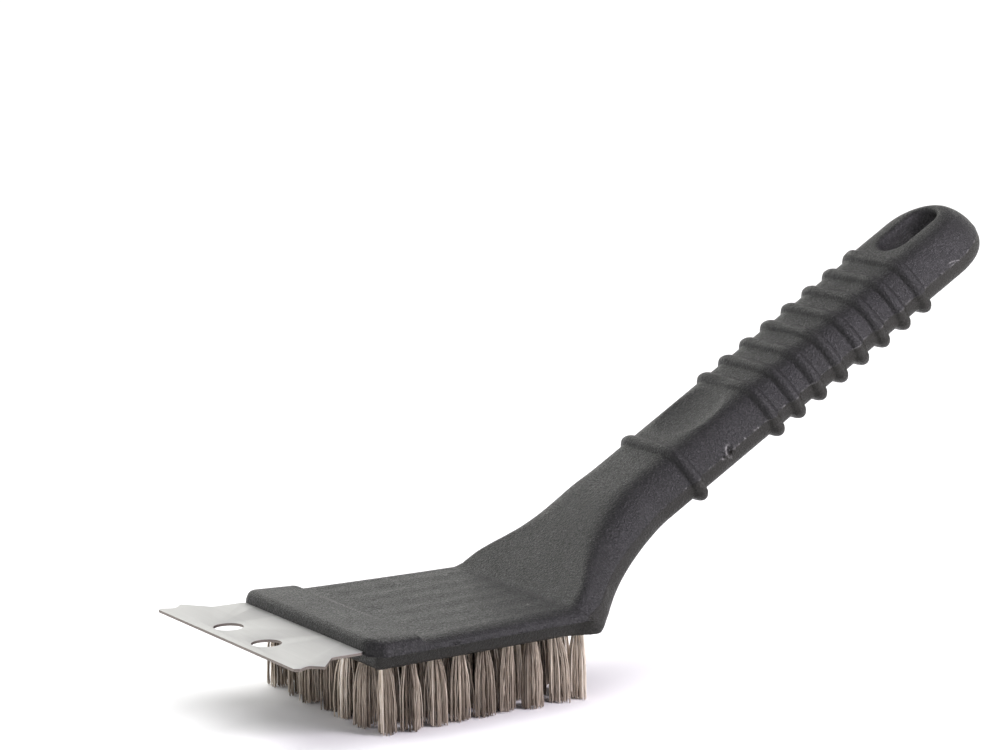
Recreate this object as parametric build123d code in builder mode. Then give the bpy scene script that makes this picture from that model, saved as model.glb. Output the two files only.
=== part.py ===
from build123d import *
import math
import os

# Grill cleaning brush: one moulded body (brush block, neck, ribbed handle with
# an open channel underneath), a punched scraper sheet held in the front of the
# block, and nine cross rows of staple-set wire tufts with their flat anchors.
#
# Frame: +X towards the hanging end, +Z up, wire tips on z = 0, the origin in
# the middle of the footprint box. Millimetres.

# ---------------------------------------------------------------- dimensions
WIRE_OUT = 16.8            # free length of the wire tufts below the block
X_MID = 82.72              # from the first tuft column to the middle of the box

# brush block
PANEL = ((8.6, 6.4), (52.6, 7.4))          # recessed panel, front and back (x, height)
STRIP = ((-7.4, 8.15), (7.1, 7.45))        # raised strip along the front edge
PARTING = 4.0                              # mould parting height on the block sides
# outline at the parting line, one side: front end, chamfered corner, back corner
DECK = ((-7.4, 31.0), (-3.8, 35.4), (60.4, 30.8))
# rounding of the upper layer: (height, set in)
PANEL_ROUND = ((4.0, 0.0), (5.2, 0.5), (6.1, 1.8), (6.8, 3.9), (7.6, 5.6))
STRIP_ROUND = ((4.0, 0.0), (5.8, 0.4), (7.2, 1.5), (8.1, 3.2), (8.6, 5.2))
SIDE_SHARE = (0.6, 1.0, 0.55)              # how much of it the front, corner and back take
# lower layer, set back all round: front end, back end, and its rounding
BASE = ((-4.2, 30.6), (60.0, 26.7))
BASE_ROUND = ((0.0, 0.0), (0.5, 1.0), (1.6, 2.0), (4.0, 2.6))

# scraper sheet
SHEET = 0.7
SHEET_Z = 4.4              # underside of the sheet above the underside of the block
EDGE_X = -28.6             # straight scraping edge
SHEET_HOLE_X = -22.3
SHEET_HOLE_Y = 10.1
SHEET_HOLE_R = 3.7
TONGUE_END = -2.2
TONGUE_HALF = 29.0
TAB_Y = 13.88              # two tabs reach in between the tufts
TAB_HALF = 2.6
TAB_END = 3.2
LOCK_R = 1.5               # moulded pegs through the tabs
LOCK_X = 0.3

# tufts
COLS = 9
ROWS = 7
COL_PITCH = 7.0
ROW_PITCH = 8.73
FAN = 0.12                 # the rows fan out towards the scraper
TUFT_R = 1.30
TUFT_TIP_R = 1.90
HOLE_R = 1.35
HOLE_DEPTH = 5.0
ANCHOR_T = 0.4
ANCHOR_W = 3.6
ANCHOR_Z = (0.25, 3.3)

# handle
TILT = 30.68               # rise of the handle above the block, degrees
RING1 = (92.24, 39.70)     # middle of the first ring's top
RING_UP = 1.3              # ring height over the handle's faces
RING_W = 3.4
RINGS = [0.0] + [27.39 + 7.69 * k for k in range(8)]
GRIP_D = 13.0              # handle depth without the rings
GRIP_A = 9.9               # half of the flat top
GRIP_W = 15.45             # half of the widest section
GRIP_B = 12.9              # half of the bottom rim
GRIP_START = -11.06
GRIP_ROUND_END = 95.6      # centre of the round hanging end
CH_HALF = 9.3              # channel half width at the rim
CH_FLOOR_HALF = 8.8
CH_WALL = 3.2              # plastic left above the channel
CH_END = 80.7
PAD = (2.5, 26.5, 1.1)     # thicker floor behind the thumb rest
END_BLOCK = (82.2, 0.5)    # the plain end is thicker: where it starts, how much
SLOT_AT = 94.9
SLOT_L = 17.9
SLOT_W = 9.3
THUMB = (14.6, 10.2, 1.3)  # thumb rest: place, half length, depth


def head(x, y, z):
    """A point given from the first tuft column and the block's underside."""
    return (x - X_MID, y, z + WIRE_OUT)


C, S = math.cos(math.radians(TILT)), math.sin(math.radians(TILT))


def grip(s, n):
    """Handle coordinates (along, above the ring tops) to x, z of the block."""
    return RING1[0] + s * C - n * S, RING1[1] + s * S + n * C


def grip_plane(s, n):
    """Plane lying along the handle, its normal out of the handle's top."""
    x, z = grip(s, n)
    return Plane(origin=head(x, 0, z), x_dir=(C, 0, S), z_dir=(-S, 0, C))


def cross_plane(top, rim):
    """Plane across the body through a top point and a rim point: local x is
    the body's Y, local y points from the rim up to the top."""
    dx, dz = top[0] - rim[0], top[1] - rim[1]
    d = math.hypot(dx, dz)
    return Plane(origin=head(top[0], 0, top[1]), x_dir=(0, 1, 0),
                 z_dir=(dz / d, 0, -dx / d))


def tuft_places(i):
    """Tufts of cross row i, from the scraper end."""
    k = 1 + FAN * (4 - i) / 8
    return [(COL_PITCH * i, ROW_PITCH * (j - 3) * k) for j in range(ROWS)]


# ------------------------------------------------------------------- scraper
with BuildPart() as scraper:
    with BuildSketch(Plane(origin=head(0, 0, SHEET_Z))) as outline:
        with BuildLine() as edge:
            right = [(EDGE_X, 36.1), (-27.3, 37.0), (-25.6, 35.9)]
            bite = (-24.6, 35.6)
            left = [(-23.7, 36.0), (-21.5, 38.3), (-16.05, 31.4),
                    (DECK[0][0] - 0.5, 31.2), (DECK[0][0] + 1.0, TONGUE_HALF),
                    (TONGUE_END, TONGUE_HALF),
                    (TONGUE_END, TAB_Y + TAB_HALF), (TAB_END, TAB_Y + TAB_HALF),
                    (TAB_END, TAB_Y - TAB_HALF), (TONGUE_END, TAB_Y - TAB_HALF)]
            half = right + [bite] + left
            Polyline(*half, *[(x, -y) for x, y in reversed(half)], close=True)
        make_face()
        with Locations((SHEET_HOLE_X, SHEET_HOLE_Y), (SHEET_HOLE_X, -SHEET_HOLE_Y)):
            Circle(SHEET_HOLE_R, mode=Mode.SUBTRACT)
        with Locations((LOCK_X, TAB_Y), (LOCK_X, -TAB_Y)):
            Circle(LOCK_R, mode=Mode.SUBTRACT)
    extrude(amount=SHEET)
scraper.part.label = "scraper_blade"


# ------------------------------------------- one anchor and one tuft, at (0, 0)
with BuildPart() as anchor_one:
    with BuildSketch(Plane.XY.offset(ANCHOR_Z[0])):
        Rectangle(ANCHOR_T, ANCHOR_W)
    extrude(amount=ANCHOR_Z[1] - ANCHOR_Z[0])

with BuildPart() as tuft_one:
    with BuildSketch(Plane.XZ) as half_tuft:
        with BuildLine():
            Polyline((0, HOLE_DEPTH - 0.1), (TUFT_R, HOLE_DEPTH - 0.1),
                     (TUFT_R, -0.5), (TUFT_TIP_R, -WIRE_OUT), (0, -WIRE_OUT),
                     close=True)
        make_face()
    revolve(axis=Axis.Z)
    add(anchor_one.part, mode=Mode.SUBTRACT)

with BuildPart() as hole_one:
    with Locations((0, 0, HOLE_DEPTH / 2 - 0.5)):
        Cylinder(HOLE_R, HOLE_DEPTH + 1)
    add(anchor_one.part)


# --------------------------------------------------------- cross-section tools
def section(a, w, b, d, up=0.0):
    """Body section: flat top, bulging sides, rounded bottom rim. Drawn with
    the top at y = 0, 'up' grows it outwards for a ring."""
    low = 0.80 * d
    pts = [(-a, up), (a, up)]
    p1 = (a, up)
    p3 = (w, -low)
    # bulging side: arc that ends upright at the widest line
    h = low + up
    run = w - a
    r = (run * run + h * h) / (2 * run)
    ang = math.asin(min(1, h / r)) / 2
    p2 = (w - r + r * math.cos(ang), -low + r * math.sin(ang))
    p4 = (b, -d - up)
    q = (w - (w - b) * 0.29, -low - (d + up - low) * 0.71)
    Line((-a, up), (a, up))
    ThreePointArc(p1, p2, p3)
    ThreePointArc(p3, q, p4)
    Line(p4, (-p4[0], p4[1]))
    ThreePointArc((-p4[0], p4[1]), (-q[0], q[1]), (-p3[0], p3[1]))
    ThreePointArc((-p3[0], p3[1]), (-p2[0], p2[1]), (-p1[0], p1[1]))


# neck sections: (top point, rim point, top half, widest half, rim half)
NECK = [
    ((52.6, 7.4), (60.0, 0.0), 28.0, 31.0, 26.7),
    ((56.5, 10.9), (63.4, 3.2), 26.1, 28.6, 26.2),
    ((59.0, 13.2), (66.0, 5.3), 23.4, 26.2, 24.3),
    ((61.9, 15.8), (69.0, 7.6), 19.9, 23.5, 21.8),
    ((65.2, 18.9), (72.5, 10.2), 16.3, 21.2, 19.3),
    ((69.6, 22.9), (77.2, 13.6), 12.8, 18.9, 16.7),
    ((76.2, 28.6), (83.2, 17.7), 10.2, 16.9, 14.5),
    (grip(GRIP_START, -RING_UP), grip(GRIP_START, -RING_UP - GRIP_D),
     GRIP_A, GRIP_W, GRIP_B),
]

with BuildPart() as neck:
    for top, rim, a, w, b in NECK:
        d = math.hypot(top[0] - rim[0], top[1] - rim[1])
        with BuildSketch(cross_plane(top, rim)):
            with BuildLine():
                section(a, w, b, d)
            make_face()
    loft(ruled=True)

top_s = grip(GRIP_START, -RING_UP)
rim_s = grip(GRIP_START, -RING_UP - GRIP_D)
with BuildPart() as grip_bar:
    with BuildSketch(cross_plane(top_s, rim_s)):
        with BuildLine():
            section(GRIP_A, GRIP_W, GRIP_B, GRIP_D)
        make_face()
    extrude(amount=END_BLOCK[0] - GRIP_START)
    block_d = GRIP_D + END_BLOCK[1]
    block_top = -RING_UP + END_BLOCK[1]
    with BuildSketch(cross_plane(grip(END_BLOCK[0], block_top),
                                 grip(END_BLOCK[0], block_top - block_d))):
        with BuildLine():
            section(GRIP_A + 0.3, GRIP_W, GRIP_B, block_d)
        make_face()
    extrude(amount=GRIP_ROUND_END - END_BLOCK[0])
    with BuildSketch(cross_plane(grip(GRIP_ROUND_END, block_top),
                                 grip(GRIP_ROUND_END, block_top - block_d))):
        with BuildLine():
            section(GRIP_A + 0.3, GRIP_W, GRIP_B, block_d)
        make_face()
        with Locations((GRIP_W, -GRIP_D / 2)):
            Rectangle(2 * GRIP_W, 3 * GRIP_D, mode=Mode.SUBTRACT)
    axis_at = head(grip(GRIP_ROUND_END, 0)[0], 0, grip(GRIP_ROUND_END, 0)[1])
    revolve(axis=Axis(axis_at, (-S, 0, C)), revolution_arc=360)

with BuildPart() as ring_one:
    for ds, k in ((-RING_W / 2, 0.0), (-RING_W * 0.33, 0.72), (-RING_W * 0.14, 1.0),
                  (RING_W * 0.14, 1.0), (RING_W * 0.33, 0.72), (RING_W / 2, 0.0)):
        with BuildSketch(cross_plane(grip(ds, -RING_UP), grip(ds, -RING_UP - GRIP_D))):
            with BuildLine():
                section(GRIP_A + 0.45 * k, GRIP_W + 0.85 * k, GRIP_B + 0.5 * k,
                        GRIP_D, RING_UP * k)
            make_face()
    loft(ruled=True)


# --------------------------------------------------------------- brush block
def prism_above(points):
    """Everything above a line of (x, height) points, for trimming."""
    xs = [(head(x, 0, z)[0], head(x, 0, z)[2]) for x, z in points]
    up = head(0, 0, 20)[2]
    return xs + [(xs[-1][0], up), (xs[0][0], up)]


with BuildPart() as panel_block:
    for z, inset in PANEL_ROUND:
        with BuildSketch(Plane(origin=head(0, 0, z))):
            with BuildLine():
                side = [(DECK[0][0] + inset * 0.45, DECK[0][1] - inset * SIDE_SHARE[0]),
                        (DECK[1][0] + inset * 0.45, DECK[1][1] - inset * SIDE_SHARE[1]),
                        (DECK[2][0], DECK[2][1] - inset * SIDE_SHARE[2])]
                Polyline(*side, *[(x, -y) for x, y in reversed(side)], close=True)
            make_face()
    loft(ruled=True)
    with BuildSketch(Plane.XZ):
        with BuildLine():
            slope = (PANEL[1][1] - PANEL[0][1]) / (PANEL[1][0] - PANEL[0][0])
            Polyline(*prism_above([(-12, PANEL[0][1] - slope * 20.6),
                                   (70, PANEL[1][1] + slope * 17.4)]), close=True)
        make_face()
    extrude(amount=60, both=True, mode=Mode.SUBTRACT)

with BuildPart() as strip_block:
    for z, inset in STRIP_ROUND:
        with BuildSketch(Plane(origin=head(0, 0, z))):
            with BuildLine():
                back = DECK[1][1] + (DECK[2][1] - DECK[1][1]) * (8.6 - DECK[1][0]) / (DECK[2][0] - DECK[1][0])
                side = [(DECK[0][0] + inset * 0.45, DECK[0][1] - inset * SIDE_SHARE[0]),
                        (DECK[1][0] + inset * 0.45, DECK[1][1] - inset * SIDE_SHARE[1]),
                        (8.6, back - inset * 0.96)]
                Polyline(*side, *[(x, -y) for x, y in reversed(side)], close=True)
            make_face()
    loft(ruled=True)
    with BuildSketch(Plane.XZ):
        with BuildLine():
            Polyline(*prism_above([(-12, STRIP[0][1] + 0.05), STRIP[0], STRIP[1],
                                   (8.0, STRIP[1][1] - 0.25), (8.7, PANEL[0][1]),
                                   (12, PANEL[0][1])]), close=True)
        make_face()
    extrude(amount=60, both=True, mode=Mode.SUBTRACT)

with BuildPart() as base_block:
    for z, out in BASE_ROUND:
        with BuildSketch(Plane(origin=head(0, 0, z))):
            with BuildLine():
                side = [(BASE[0][0] - out * 0.25, BASE[0][1] + out),
                        (BASE[1][0], BASE[1][1] + out * 0.85)]
                Polyline(*side, *[(x, -y) for x, y in reversed(side)], close=True)
            make_face()
    loft(ruled=True)

# ---------------------------------------------------------------------- body
with BuildPart() as body:
    add(panel_block.part)
    add(strip_block.part)
    # bare the sheet from below, in front of the lower layer
    with BuildSketch(Plane(origin=head(0, 0, PARTING - 0.5))):
        with Locations((DECK[0][0] - 2 + (BASE[0][0] - 0.6 - DECK[0][0] + 2) / 2, 0)):
            Rectangle(BASE[0][0] - 0.6 - DECK[0][0] + 2, 2 * 31.2)
    extrude(amount=SHEET_Z - PARTING + 0.5, mode=Mode.SUBTRACT)
    add(base_block.part)
    # cut the back of the block along the neck's first section
    with BuildSketch(Plane.XZ):
        with BuildLine():
            Polyline(*[(head(x, 0, z)[0], head(x, 0, z)[2]) for x, z in
                       [(52.6, 7.4), (60.6, -0.6), (80, -0.6), (80, 12), (52.6, 12)]],
                     close=True)
        make_face()
    extrude(amount=60, both=True, mode=Mode.SUBTRACT)
    add(neck.part)
    add(grip_bar.part)
    for s in RINGS:
        with Locations((s * C, 0, s * S)):
            add(ring_one.part)
    # the handle channel
    with BuildSketch(cross_plane(grip(CH_END, -RING_UP), grip(CH_END, -RING_UP - GRIP_D))):
        with BuildLine():
            Polyline((CH_HALF + 0.15, -GRIP_D - 3), (-CH_HALF - 0.15, -GRIP_D - 3),
                     (-CH_FLOOR_HALF, -CH_WALL), (CH_FLOOR_HALF, -CH_WALL), close=True)
        make_face()
    extrude(amount=-(CH_END - GRIP_START), mode=Mode.SUBTRACT)

print("body solids", len(body.part.solids()), round(body.part.volume))

# channel in the neck, opening out towards the block
CHANNEL = [
    # floor point, rim point, floor half, rim half
    ((69.0, 17.0), (64.0, 3.7), 13.2, 21.3),
    ((71.4, 20.0), (73.6, 11.0), 11.6, 14.4),
    ((74.2, 23.2), (80.3, 15.4), 9.6, 11.2),
    (grip(GRIP_START, -RING_UP - CH_WALL), grip(GRIP_START, -RING_UP - GRIP_D),
     CH_FLOOR_HALF, CH_HALF),
]
with BuildPart() as neck_channel:
    for floor, rim, a, b in CHANNEL:
        d = math.hypot(floor[0] - rim[0], floor[1] - rim[1])
        k = (d + 3) / d
        low = (floor[0] + (rim[0] - floor[0]) * k, floor[1] + (rim[1] - floor[1]) * k)
        with BuildSketch(cross_plane(floor, rim)):
            with BuildLine():
                bb = a + (b - a) * k
                Polyline((-a, 0), (a, 0), (bb, -d * k), (-bb, -d * k), close=True)
            make_face()
    loft(ruled=True)

with BuildPart() as thumb_ball:
    t_s, t_l, t_d = THUMB
    ball_r = (t_l ** 2 + t_d ** 2) / (2 * t_d)
    bx, bz = grip(t_s, -RING_UP - t_d + ball_r)
    with Locations(head(bx, 0, bz)):
        Sphere(ball_r)

with BuildPart() as floor_pad:
    p0, p1, pt = PAD
    with BuildSketch(grip_plane((p0 + p1) / 2, -RING_UP - CH_WALL - pt)):
        Rectangle(p1 - p0, 2 * CH_FLOOR_HALF + 0.6)
    extrude(amount=pt + 0.5)

with BuildPart() as hang_slot:
    with BuildSketch(grip_plane(SLOT_AT, -GRIP_D - 6)):
        SlotOverall(SLOT_L, SLOT_W)
    extrude(amount=GRIP_D + 12)

with BuildPart() as brush_body:
    add(body.part)
    add(neck_channel.part, mode=Mode.SUBTRACT)
    add(floor_pad.part)
    add(thumb_ball.part, mode=Mode.SUBTRACT)
    add(hang_slot.part, mode=Mode.SUBTRACT)
    lips = [e for e in brush_body.edges()
            if abs((e @ 0.5 - Vector(*head(grip(SLOT_AT, 0)[0], 0, grip(SLOT_AT, 0)[1]))).dot(Vector(C, 0, S))) < SLOT_L / 2 + 0.5
            and abs((e @ 0.5).Y) < SLOT_W / 2 + 0.2]
    n_of = lambda e: (e @ 0.5 - Vector(*head(*[grip(SLOT_AT, 0)[0], 0, grip(SLOT_AT, 0)[1]]))).dot(Vector(-S, 0, C))
    lips = [e for e in lips if abs(n_of(e) - block_top) < 0.05 or abs(n_of(e) + RING_UP + GRIP_D) < 0.05]
    print("slot lip edges", len(lips))
    fillet(lips, 1.2)
    add(scraper.part, mode=Mode.SUBTRACT)
    with Locations(*[head(x, y, 0) for i in range(COLS) for x, y in tuft_places(i)]):
        add(hole_one.part, mode=Mode.SUBTRACT)
brush_body.part.label = "brush_body"

print("body", len(brush_body.part.solids()), brush_body.part.is_valid, round(brush_body.part.volume))

# -------------------------------------------------------------------- output
os.makedirs("parts", exist_ok=True)
export_step(brush_body.part, "parts/brush_body.step")
export_step(scraper.part, "parts/scraper_blade.step")

for i in range(COLS):
    places = [head(x, y, 0) for x, y in tuft_places(i)]
    with BuildPart() as row:
        with Locations(*places):
            add(tuft_one.part)
    row.part.label = f"bristle_row_{i + 1}"
    export_step(row.part, f"parts/bristle_row_{i + 1}.step")
    with BuildPart() as anchors:
        with Locations(*places):
            add(anchor_one.part)
    anchors.part.label = f"anchor_row_{i + 1}"
    export_step(anchors.part, f"parts/anchor_row_{i + 1}.step")
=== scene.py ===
import bpy
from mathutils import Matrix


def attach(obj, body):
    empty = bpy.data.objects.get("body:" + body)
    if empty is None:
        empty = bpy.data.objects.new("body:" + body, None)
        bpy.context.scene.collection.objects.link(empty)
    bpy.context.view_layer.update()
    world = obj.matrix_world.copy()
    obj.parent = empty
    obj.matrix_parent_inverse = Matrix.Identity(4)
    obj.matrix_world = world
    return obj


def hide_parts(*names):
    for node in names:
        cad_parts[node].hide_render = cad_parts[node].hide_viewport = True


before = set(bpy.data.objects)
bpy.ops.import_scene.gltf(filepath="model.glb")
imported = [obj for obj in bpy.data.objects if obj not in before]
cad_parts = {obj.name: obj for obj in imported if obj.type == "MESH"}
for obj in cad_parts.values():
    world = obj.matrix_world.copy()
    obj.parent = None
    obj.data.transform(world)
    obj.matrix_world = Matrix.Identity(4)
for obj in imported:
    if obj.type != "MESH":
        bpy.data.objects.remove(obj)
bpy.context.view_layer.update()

import bpy, bmesh, math
import numpy as np
from mathutils import Matrix, Vector

RNG = np.random.default_rng(20)
GRID = 0.44      # spacing of the body's field, mm

# The block's own axes, in millimetres: x = 0 at the first tuft row, z = 0 at
# the block's underside, y = 0 in the middle. The part's frame is shifted.
XM, ZB = 82.72, 16.8
TL = math.radians(30.68)
C, S = math.cos(TL), math.sin(TL)
R1 = (92.24, 39.70)


def metres(p):
    p = np.asarray(p, float)
    return (p + np.array([-XM, 0.0, ZB])) / 1000.0


def grip(s, n):
    return (R1[0] + s * C - n * S, R1[1] + s * S + n * C)


def to_grip(x, z):
    dx, dz = x - R1[0], z - R1[1]
    return dx * C + dz * S, -dx * S + dz * C


def smax(a, b, k):
    h = np.maximum(k - np.abs(a - b), 0.0) / k
    return np.maximum(a, b) + h * h * k * 0.25


def smin(a, b, k):
    h = np.maximum(k - np.abs(a - b), 0.0) / k
    return np.minimum(a, b) - h * h * k * 0.25


def step(x, a, b):
    t = np.clip((x - a) / (b - a), 0.0, 1.0)
    return t * t * (3 - 2 * t)


def pchip(xs, ys, xq):
    """Smooth curve through the rows of ys without overshoot."""
    xs, ys = np.asarray(xs, float), np.asarray(ys, float)
    h = np.diff(xs)[:, None]
    d = np.diff(ys, axis=0) / h
    m = np.zeros_like(ys)
    m[0], m[-1] = d[0], d[-1]
    with np.errstate(divide="ignore", invalid="ignore"):
        w1, w2 = 2 * h[1:] + h[:-1], h[1:] + 2 * h[:-1]
        hm = (w1 + w2) / (w1 / d[:-1] + w2 / d[1:])
    m[1:-1] = np.where(d[:-1] * d[1:] > 0, hm, 0.0)
    i = np.clip(np.searchsorted(xs, xq) - 1, 0, len(xs) - 2)
    t = ((xq - xs[i]) / h[i, 0])[:, None]
    h00, h10 = 2 * t**3 - 3 * t**2 + 1, t**3 - 2 * t**2 + t
    h01, h11 = -2 * t**3 + 3 * t**2, t**3 - t**2
    return h00 * ys[i] + h10 * h[i] * m[i] + h01 * ys[i + 1] + h11 * h[i] * m[i + 1]


# ------------------------------------------------------------ the moulded body
RING_S = [0.0] + [27.39 + 7.69 * k for k in range(8)]

# neck sections: top x z, rim x z, top half, widest half, rim rounding
_n = [
    (48.0, 3.2, 55.8, -3.9, 25.0, 27.6, 3.2),
    (52.6, 7.4, 60.0, 0.0, 28.3, 30.8, 3.0),
    (56.5, 10.9, 63.4, 3.2, 26.6, 28.7, 2.6),
    (59.0, 13.2, 66.0, 5.3, 24.0, 26.3, 2.3),
    (61.9, 15.8, 69.0, 7.6, 20.4, 23.6, 2.2),
    (65.2, 18.9, 72.5, 10.2, 16.3, 21.2, 2.3),
    (69.6, 22.9, 77.2, 13.6, 12.8, 18.9, 2.5),
    (76.2, 28.6, 83.2, 17.7, 10.2, 16.9, 2.8),
    (*grip(-11.06, -1.3), *grip(-11.06, -14.3), 9.9, 15.45, 3.0),
    (*grip(-4.0, -1.3), *grip(-4.0, -14.3), 9.9, 15.45, 3.0),
    (*grip(3.0, -1.3), *grip(3.0, -14.3), 9.9, 15.45, 3.0),
]
_n = np.array(_n, float)
_l = np.concatenate([[0], np.cumsum(np.hypot(*(np.diff((_n[:, 0:2] + _n[:, 2:4]) / 2, axis=0)).T))])
_q = np.linspace(0, _l[-1], 701)
NK = pchip(_l, _n, _q)
NK_DW = np.gradient(NK[:, 5], _q)

# channel under the neck: floor x z, rim x z, floor half, rim half
_c = np.array([
    (69.0, 17.0, 64.0, 3.7, 13.2, 21.3),
    (70.1, 18.6, 68.6, 7.2, 12.5, 17.7),
    (71.4, 20.0, 73.6, 11.0, 11.6, 14.3),
    (74.2, 23.2, 80.3, 15.4, 9.7, 11.2),
    (*grip(-11.06, -4.5), *grip(-11.06, -14.3), 8.8, 9.4),
    (*grip(-4.0, -4.5), *grip(-4.0, -14.3), 8.8, 9.3),
    (*grip(3.0, -4.5), *grip(3.0, -14.3), 8.8, 9.3),
], float)
_m = np.concatenate([[0], np.cumsum(np.hypot(*(np.diff((_c[:, 0:2] + _c[:, 2:4]) / 2, axis=0)).T))])
CHN = pchip(_m, _c, np.linspace(0, _m[-1], 501))
_fx = np.concatenate([[60.0, 66.5], _c[:, 0], [grip(90, -4.5)[0]]])
_fz = np.concatenate([[12.0, 14.6], _c[:, 1], [grip(90, -4.5)[1]]])


def fan(table, x, z):
    """Where (x, z) lies in a fan of section lines: the table's row there."""
    lo = np.zeros(x.shape, np.int64)
    hi = np.full(x.shape, len(table) - 1, np.int64)

    def g(i):
        a = table[i]
        return (a[..., 2] - a[..., 0]) * (z - a[..., 1]) - (a[..., 3] - a[..., 1]) * (x - a[..., 0])

    for _ in range(10):
        mid = (lo + hi) // 2
        ahead = g(mid) > 0
        lo = np.where(ahead, mid, lo)
        hi = np.where(ahead, hi, mid)
    lo = np.minimum(lo, len(table) - 2)
    ga, gb = g(lo), g(lo + 1)
    f = np.clip(ga / np.where(np.abs(ga - gb) < 1e-9, 1e-9, ga - gb), 0, 1)
    row = table[lo] * (1 - f)[..., None] + table[lo + 1] * f[..., None]
    return row, lo + f


SEAM = np.array([(54.0, 4.45), (57.9, 6.1), (60.8, 7.4), (63.6, 9.45), (67.4, 12.2), (75.0, 17.5), (85.0, 24.2),
                 (92.0, 28.4), (97.1, 31.5)])


def seam_offset(x, z, s, n):
    """Signed distance in side view to the line where the mould halves meet,
    positive above it."""
    d = np.where(s > 0, n + 9.5, 9.0)
    for a, b in zip(SEAM[:-1], SEAM[1:]):
        ab = b - a
        t = np.clip(((x - a[0]) * ab[0] + (z - a[1]) * ab[1]) / (ab @ ab), 0, 1)
        e = np.sqrt((x - a[0] - t * ab[0]) ** 2 + (z - a[1] - t * ab[1]) ** 2)
        e = e * np.where(ab[0] * (z - a[1]) - ab[1] * (x - a[0]) < 0, -1.0, 1.0)
        d = np.where(np.abs(e) < np.abs(d), e, d)
    return d


def planar(x, z):
    """Everything about the body that depends on x and z alone."""
    s, n = to_grip(x, z)
    row, pos = fan(NK, x, z)
    dx, dz = row[..., 2] - row[..., 0], row[..., 3] - row[..., 1]
    D = np.hypot(dx, dz)
    v = ((x - row[..., 0]) * dx + (z - row[..., 1]) * dz) / D
    on_grip = s > 0.0
    end = step(s, 81.2, 82.6)
    v = np.where(on_grip, -1.3 + 0.5 * end - n, v)
    D = np.where(on_grip, 13.0 + 0.5 * end, D)
    a = np.where(on_grip, 9.9 + 0.3 * end, row[..., 4])
    w = np.where(on_grip, 15.45, row[..., 5])
    kr = np.where(on_grip, 3.0, row[..., 6])
    flare = np.where(on_grip, 0.0, np.interp(pos, np.arange(len(NK_DW)), NK_DW))
    e, vw = w - a, 0.8 * D
    R = (e * e + vw * vw) / (2 * e)
    low = vw - v
    root = np.sqrt(np.maximum(R * R - np.clip(low, 0, vw) ** 2, 1e-6))
    slope = np.clip(low, 0, vw) / root
    W = w - R + root - np.maximum(low - vw, 0) * slope
    # channel
    crow, _ = fan(CHN, x, z)
    cdx, cdz = crow[..., 2] - crow[..., 0], crow[..., 3] - crow[..., 1]
    cD = np.hypot(cdx, cdz)
    cv = ((x - crow[..., 0]) * cdx + (z - crow[..., 1]) * cdz) / cD / cD
    cv = np.where(on_grip, (-4.5 - n) / 9.8, cv)
    ca = np.where(on_grip, 8.8, crow[..., 4])
    cb = np.where(on_grip, 9.3, crow[..., 5])
    CW = ca + (cb - ca) * np.maximum(cv, 0)
    fz = np.interp(x, _fx, _fz)
    fl = np.where(on_grip, n + 4.5, (z - fz) * 0.80)
    pad = step(s, 2.2, 2.6) * (1 - step(s, 26.3, 26.7))
    fl = fl + 1.1 * pad
    # the wall in front of the channel leans with the neck's back face
    fw = ((69.0 - 64.0) * (z - 3.7) - (17.0 - 3.7) * (x - 64.0)) / math.hypot(5.0, 13.3)
    return dict(x=x, z=z, s=s, n=n, v=v, D=D, W=W, kr=kr, sl=slope, flare=flare,
                CW=CW, fl=fl, fw=fw, seam=seam_offset(x, z, s, n))


def inset(z, x):
    """How far the top layer's edge is drawn in at height z."""
    zp, ip = [4.0, 5.2, 6.1, 6.8, 7.6], [0.0, 0.45, 1.7, 3.7, 5.6]
    zs, is_ = [4.0, 5.8, 7.2, 8.1, 8.6], [0.0, 0.4, 1.4, 3.1, 5.0]
    a = np.interp(z, zp, ip) + np.maximum(z - 7.6, 0) * 2.4
    b = np.interp(z, zs, is_) + np.maximum(z - 8.6, 0) * 3.6
    t = step(x, 6.6, 9.0)
    return b * (1 - t) + a * t


def deck_top(x):
    """Height of the block's top along its length."""
    strip = 8.15 - (x + 7.4) * 0.7 / 14.5
    panel = 6.4 + (x - 8.6) / 44.0
    t = np.clip((x - 7.0) / 1.7, 0.0, 1.0)
    t = t * t * (3 - 2 * t)
    lip = 0.10 * np.exp(-((x - 6.9) / 0.45) ** 2)
    return strip * (1 - t) + panel * t + lip


HOLES = np.array([(7.0 * i, 8.73 * (j - 3) * (1 + 0.12 * (4 - i) / 8)) for i in range(9) for j in range(7)])


def hole_distance(x, y):
    """Distance in plan to the nearest tuft hole's wall, inside negative."""
    i = np.clip(np.round(x / 7.0), 0, 8)
    k = 8.73 * (1 + 0.12 * (4 - i) / 8)
    j = np.clip(np.round(y / k), -3, 3)
    return np.sqrt((x - 7.0 * i) ** 2 + (y - j * k) ** 2) - 1.35


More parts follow.
